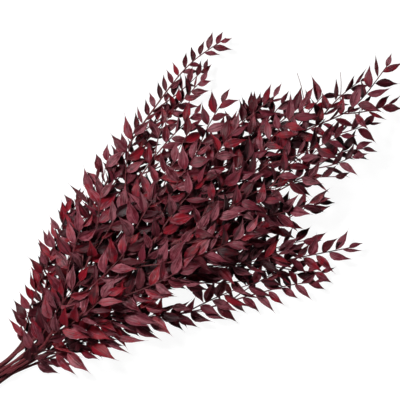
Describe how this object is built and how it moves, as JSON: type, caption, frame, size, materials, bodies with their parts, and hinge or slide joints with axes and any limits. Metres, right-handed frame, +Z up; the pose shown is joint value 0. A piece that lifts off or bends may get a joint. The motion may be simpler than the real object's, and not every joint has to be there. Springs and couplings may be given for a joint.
{
  "type": "dried ruscus bunch",
  "caption": "Bunch of dried, dyed burgundy ruscus stems with side shoots and pointed leaves, fanning out of a rubber band and lying flat.",
  "frame": {"origin": "on the surface that the bunch lies on, under the middle of its bounding box", "axes": "+X along the bunch from the band to the leafy head, +Y to its left, +Z up from the surface"},
  "size_m": [0.8246, 0.4022, 0.147],
  "materials": {
    "ruscus": "dried and dyed leaves and stems, burgundy, with a soft sheen",
    "rubber": "matte natural rubber"
  },
  "bodies": {
    "root": {"stem_01": "ruscus", "stem_02": "ruscus", "stem_03": "ruscus", "stem_04": "ruscus", "stem_05": "ruscus", "stem_06": "ruscus", "stem_07": "ruscus", "stem_08": "ruscus", "stem_09": "ruscus", "stem_10": "ruscus", "stem_11": "ruscus", "stem_12": "ruscus", "stem_13": "ruscus", "stem_14": "ruscus", "band": "rubber"}
  },
  "joints": []
}
